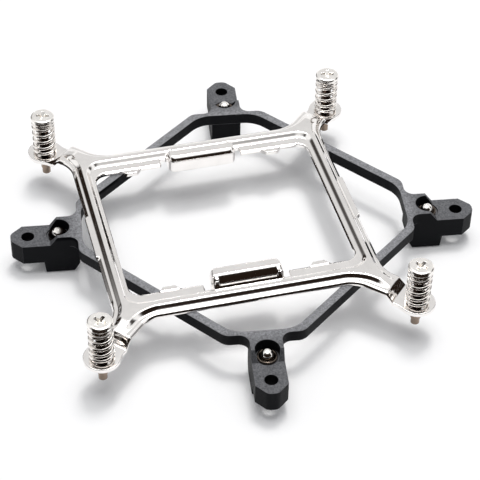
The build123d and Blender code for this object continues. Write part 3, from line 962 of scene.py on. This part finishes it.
def floor_material():
    """White floor that keeps shadows, with a faint glow for the camera and for reflections."""
    material, tree = tree_of("white_floor")
    seen = seen_by(tree, "Is Camera Ray", "Is Glossy Ray")
    glow = add_node(tree, "ShaderNodeMath", {0: seen, 1: FLOOR_GLOW}, operation="MULTIPLY")
    paint = add_node(tree, "ShaderNodeBsdfDiffuse", {"Color": FLOOR_PAINT})
    light = add_node(tree, "ShaderNodeEmission", {"Color": WHITE, "Strength": glow.outputs[0]})
    both = add_node(tree, "ShaderNodeAddShader", {0: paint.outputs[0], 1: light.outputs[0]})
    return finish_material(material, both)


def studio_world():
    """White to the camera and in reflections, a dim cool fill for everything else."""
    world = bpy.data.worlds.new("studio")
    world.use_nodes = True
    tree = world.node_tree
    tree.nodes.clear()
    seen = seen_by(tree, "Is Camera Ray", "Is Glossy Ray", "Is Transmission Ray")
    colour = mix_colour(tree, seen, FILL_LIGHT, WHITE)
    background = add_node(tree, "ShaderNodeBackground", {"Color": colour, "Strength": 1.0})
    output = add_node(tree, "ShaderNodeOutputWorld")
    tree.links.new(background.outputs[0], output.inputs["Surface"])
    bpy.context.scene.world = world


def reflection_paint():
    """Glow of the painted reflections, with the tone of each point of a card, shared by all cards."""
    material = bpy.data.materials.get("reflection_paint")
    if material is None:
        material, tree = tree_of("reflection_paint")
        tone = add_node(tree, "ShaderNodeVertexColor", layer_name="tone")
        finish_material(material, add_node(tree, "ShaderNodeEmission", {"Color": tone.outputs["Color"]}))
    return material


def toned_card(name, places, tones):
    """A glowing sheet over a grid of places that only reflections show, a painted reflection, light and dark
    by its tones.
    """
    rows, columns = tones.shape
    index = np.arange(rows * columns).reshape(rows, columns)
    faces = np.stack([index[:-1, :-1], index[1:, :-1], index[1:, 1:], index[:-1, 1:]], axis=-1).reshape(-1, 4)
    mesh = bpy.data.meshes.new(name)
    mesh.from_pydata(places.reshape(-1, 3).tolist(), [], faces.tolist())
    colours = np.ones((rows * columns, 4))
    colours[:, :3] = DARK_REFLECTION + (1 - DARK_REFLECTION) * tones.reshape(-1, 1)
    layer = mesh.color_attributes.new("tone", "FLOAT_COLOR", "POINT")
    layer.data.foreach_set("color", colours.ravel())
    card = mesh_object(name, mesh, reflection_paint())
    card.visible_camera = False
    card.visible_shadow = False
    card.visible_diffuse = False
    card.visible_transmission = False


def reflection_dome():
    """A white glowing dome that only reflections show, a painted reflection, darkened where its cards hang.
    """
    azimuth, rise = np.meshgrid(
        np.linspace(0, 360, num=181), np.linspace(DOME_FOOT, DOME_TOP, num=42), indexing="ij",
    )
    tones = np.ones_like(azimuth)
    for middle, half, foot, top, blur, strength in CARDS:
        off = np.abs((azimuth - middle + 180) % 360 - 180)
        across = 1 - soft_step(off, half - SIDE_BLUR, half + SIDE_BLUR)
        under_top = 1 - soft_step(rise, top - blur, top + blur)
        over_foot = soft_step(rise, foot - FOOT_BLUR, foot + FOOT_BLUR)
        tones *= 1 - strength * across * under_top * over_foot
    flat = DOME_RADIUS * np.cos(np.radians(rise))
    places = np.stack([
        flat * np.cos(np.radians(azimuth)),
        flat * np.sin(np.radians(azimuth)),
        DOME_RADIUS * np.sin(np.radians(rise)),
    ], axis=-1)
    toned_card("reflection_dome", places, tones)


def spring_cards(stage):
    """Dark fans held level with the screw eyes, before each spring, which only reflections show: painted dark
    reflections in the springs.
    """
    facing = np.degrees(stage.azimuth) - 90
    for place, axis in SCREW_AXES.items():
        end = BACK_FAN_ENDS.get(place, FAN_END)
        turn, reach = np.meshgrid(
            np.linspace(-FAN_HALF, FAN_HALF, num=25), np.linspace(FAN_START, end, num=4), indexing="ij",
        )
        places = np.stack([
            axis.x + reach * np.cos(np.radians(turn + facing)),
            axis.y + reach * np.sin(np.radians(turn + facing)),
            np.full_like(reach, axis.z + FAN_LIFT),
        ], axis=-1)
        toned_card(f"spring_card_{place}", places, np.zeros_like(reach))


def front_card():
    """A dark sheet on the floor well before the part, which only reflections show: a painted dark reflection.
    """
    x, y = np.meshgrid(
        np.linspace(-SHEET_HALF, SHEET_HALF, num=3), np.linspace(SHEET_NEAR, SHEET_FAR, num=30),
        indexing="ij",
    )
    places = np.stack([x, y, np.full_like(x, SHEET_LIFT)], axis=-1)
    toned_card("front_card", places, soft_step(y, SHEET_DARK, SHEET_NEAR))


def bar_cards(size, level):
    """Dark strips held under the left edges of the side bars, which only reflections show: painted dark
    reflections along the bars.
    """
    for name, start in (("left_bar_card", -size.width / 2), ("right_bar_card", size.window_width / 2)):
        away, v = np.meshgrid(
            np.linspace(STRIP_GAP, STRIP_WIDTH, num=12), np.linspace(-STRIP_HALF, STRIP_HALF, num=12),
            indexing="ij",
        )
        u = start - away
        places = np.stack([
            FRAME_CENTRE.x + u * cos(FRAME_TURN) - v * sin(FRAME_TURN),
            FRAME_CENTRE.y + u * sin(FRAME_TURN) + v * cos(FRAME_TURN),
            np.full_like(u, level),
        ], axis=-1)
        toned_card(name, places, soft_step(away, STRIP_FADE, STRIP_WIDTH))


def area_light(name, place, width, energy, colour):
    """A round softbox that looks at the part's origin."""
    lamp = bpy.data.lights.new(name, "AREA")
    lamp.shape = "DISK"
    lamp.size = width
    lamp.energy = energy
    lamp.color = colour
    made = bpy.data.objects.new(name, lamp)
    made.location = place
    made.rotation_mode = "QUATERNION"
    made.rotation_quaternion = (-Vector(place)).to_track_quat("-Z", "Y")
    bpy.context.scene.collection.objects.link(made)


def place_camera(stage):
    """The camera at its viewing angle, with a slight roll and a shifted view."""
    turn = stage.azimuth
    level = cos(stage.elevation)
    back = Vector((sin(turn) * level, -cos(turn) * level, sin(stage.elevation)))
    right = Vector((cos(turn), sin(turn), 0))
    up = back.cross(right)
    tilted_right = cos(stage.roll) * right + sin(stage.roll) * up
    tilted_up = cos(stage.roll) * up - sin(stage.roll) * right
    camera = bpy.data.cameras.new("camera")
    camera.sensor_width = SENSOR_WIDTH
    camera.lens = stage.lens
    camera.shift_x = stage.shift_across
    camera.shift_y = stage.shift_up
    camera.clip_start = 10 * MM
    made = bpy.data.objects.new("camera", camera)
    aim = Vector((0, 0, stage.aim_height))
    turned = Matrix((tilted_right, tilted_up, back)).transposed().to_4x4()
    made.matrix_world = Matrix.Translation(back * stage.distance + aim) @ turned
    bpy.context.scene.collection.objects.link(made)
    bpy.context.scene.camera = made


class ADAPTER_OT_stage(bpy.types.Operator):
    """Sets the white floor, the painted reflections of dome and cards, the soft light and the camera"""

    bl_idname = "adapter.stage"
    bl_label = "Set stage"

    def execute(self, context):
        stage = context.scene.adapter_stage
        half = stage.floor_size / 2
        corners = ((-half, -half), (half, -half), (half, half), (-half, half))
        mesh = bpy.data.meshes.new("floor")
        mesh.from_pydata([(x, y, FLOOR_LEVEL) for x, y in corners], [], [(0, 1, 2, 3)])
        floor = mesh_object("floor", mesh, floor_material())
        studio_world()
        reflection_dome()
        front_card()
        spring_cards(stage)
        size = context.scene.adapter_pressing
        bar_cards(size, flat_level(size) - size.sheet - STRIP_GAP)
        area_light("softbox", place=(0.05, 0.12, 1.3), width=1.2, energy=9.4, colour=(1.0, 1.0, 1.0))
        area_light("key", place=(0.14, 0.34, 1.4), width=0.32, energy=5.6, colour=(1.0, 0.985, 0.97))
        place_camera(stage)
        context.scene.view_settings.view_transform = "Standard"
        return {"FINISHED"}


class ADAPTER_PT_panel(bpy.types.Panel):
    """Sidebar panel with the adapter's sizes, colours and steps"""

    bl_idname = "ADAPTER_PT_panel"
    bl_label = "Mounting Adapter"
    bl_space_type = "VIEW_3D"
    bl_region_type = "UI"
    bl_category = "Adapter"

    def draw(self, context):
        for group in ("adapter_colours", "adapter_pressing", "adapter_springs", "adapter_stage"):
            settings = getattr(context.scene, group)
            for name in settings.__annotations__:
                self.layout.prop(settings, name)
        for step in STEPS:
            self.layout.operator(step.bl_idname)


STEPS = (
    ADAPTER_OT_finishes,
    ADAPTER_OT_backing_frame,
    ADAPTER_OT_retention_frame,
    ADAPTER_OT_inserts,
    ADAPTER_OT_screws,
    ADAPTER_OT_springs,
    ADAPTER_OT_stage,
)
CLASSES = (AdapterColours, AdapterPressing, AdapterSprings, AdapterStage, *STEPS, ADAPTER_PT_panel)


def register():
    for made in CLASSES:
        bpy.utils.register_class(made)
    bpy.types.Scene.adapter_colours = bpy.props.PointerProperty(type=AdapterColours)
    bpy.types.Scene.adapter_pressing = bpy.props.PointerProperty(type=AdapterPressing)
    bpy.types.Scene.adapter_springs = bpy.props.PointerProperty(type=AdapterSprings)
    bpy.types.Scene.adapter_stage = bpy.props.PointerProperty(type=AdapterStage)


def unregister():
    del bpy.types.Scene.adapter_stage
    del bpy.types.Scene.adapter_springs
    del bpy.types.Scene.adapter_pressing
    del bpy.types.Scene.adapter_colours
    for made in reversed(CLASSES):
        bpy.utils.unregister_class(made)


def main():
    register()
    bpy.ops.adapter.finishes()
    bpy.ops.adapter.backing_frame()
    bpy.ops.adapter.retention_frame()
    bpy.ops.adapter.inserts()
    bpy.ops.adapter.screws()
    bpy.ops.adapter.springs()
    bpy.ops.adapter.stage()


if __name__ == "__main__":
    main()
